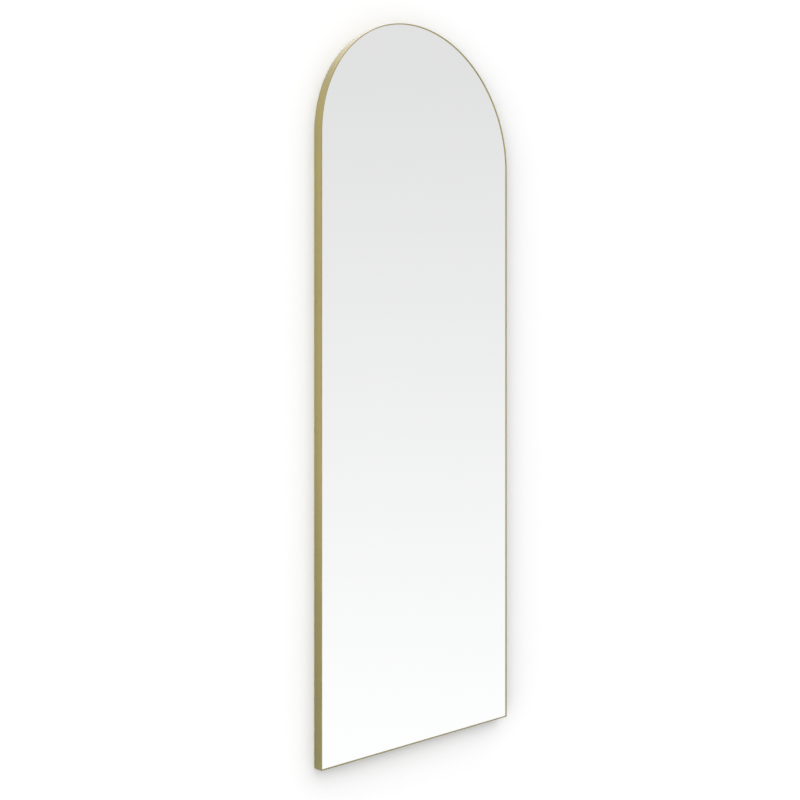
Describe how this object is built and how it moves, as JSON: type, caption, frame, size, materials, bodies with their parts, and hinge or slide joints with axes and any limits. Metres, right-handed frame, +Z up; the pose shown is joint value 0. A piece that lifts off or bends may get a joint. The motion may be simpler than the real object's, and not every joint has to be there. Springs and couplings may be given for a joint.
{
  "type": "arched full-length mirror",
  "caption": "Tall arched mirror in a slim brushed brass-coloured metal frame, with a hanging bar, keyholes and swinging D-rings on the back.",
  "frame": {"origin": "midway between the two keyholes' round entries, on the hanging bar's back face", "axes": "+Z up along the stiles, the glass faces -Y and the wall is on the +Y side, +X to the right seen from the front"},
  "size_m": [0.6, 0.028, 1.7015],
  "materials": {
    "frame_brass": "satin",
    "cast_key": "satin",
    "zinc_steel": "satin",
    "set_screw_steel": "satin",
    "bedding_tape": "matte",
    "clear_glass": "polished",
    "silver": "polished",
    "film": "gloss",
    "packer_rubber": "matte",
    "foam": "matte",
    "board": "matte",
    "spring_steel": "satin",
    "bar_aluminium": "satin",
    "rivet_aluminium": "satin",
    "ring_nickel": "polished",
    "bumper_rubber": "matte",
    "pad_rubber": "matte"
  },
  "bodies": {
    "mirror": {"frame_hoop": "frame_brass", "frame_bottom_rail": "frame_brass", "corner_key_left": "cast_key", "corner_key_right": "cast_key", "corner_plate_left": "zinc_steel", "corner_plate_right": "zinc_steel", "corner_set_screws_left": "set_screw_steel", "corner_set_screws_right": "set_screw_steel", "glazing_tape": "bedding_tape", "mirror_glass": "clear_glass", "silver_coating": "silver", "safety_film": "film", "setting_blocks": "packer_rubber", "edge_spacers": "packer_rubber", "foam_tape": "foam", "backing_board": "board", "spring_clips_left": "spring_steel", "spring_clips_right": "spring_steel", "spring_clips_arch": "spring_steel", "spring_clips_rail": "spring_steel", "hanging_bar": "bar_aluminium", "brace_bar_middle": "bar_aluminium", "brace_bar_lower": "bar_aluminium", "bar_nut_plates_left": "zinc_steel", "bar_nut_plates_right": "zinc_steel", "bar_screws_left": "zinc_steel", "bar_screws_right": "zinc_steel", "hanger_strap_left": "zinc_steel", "hanger_strap_right": "zinc_steel", "hanger_rivets_left": "rivet_aluminium", "hanger_rivets_right": "rivet_aluminium", "wall_bumpers": "bumper_rubber", "floor_pads": "pad_rubber"},
    "ring_left": {"d_ring_left": "ring_nickel"},
    "ring_right": {"d_ring_right": "ring_nickel"}
  },
  "joints": [
    {"name": "ring_left_swing", "type": "hinge", "parent": "mirror", "child": "ring_left", "pos_m": [-0.225, 0.00303, 0.019], "axis": [1, 0, 0], "range_deg": [0, 180]},
    {"name": "ring_right_swing", "type": "hinge", "parent": "mirror", "child": "ring_right", "pos_m": [0.225, 0.00303, 0.019], "axis": [1, 0, 0], "range_deg": [0, 180]}
  ]
}
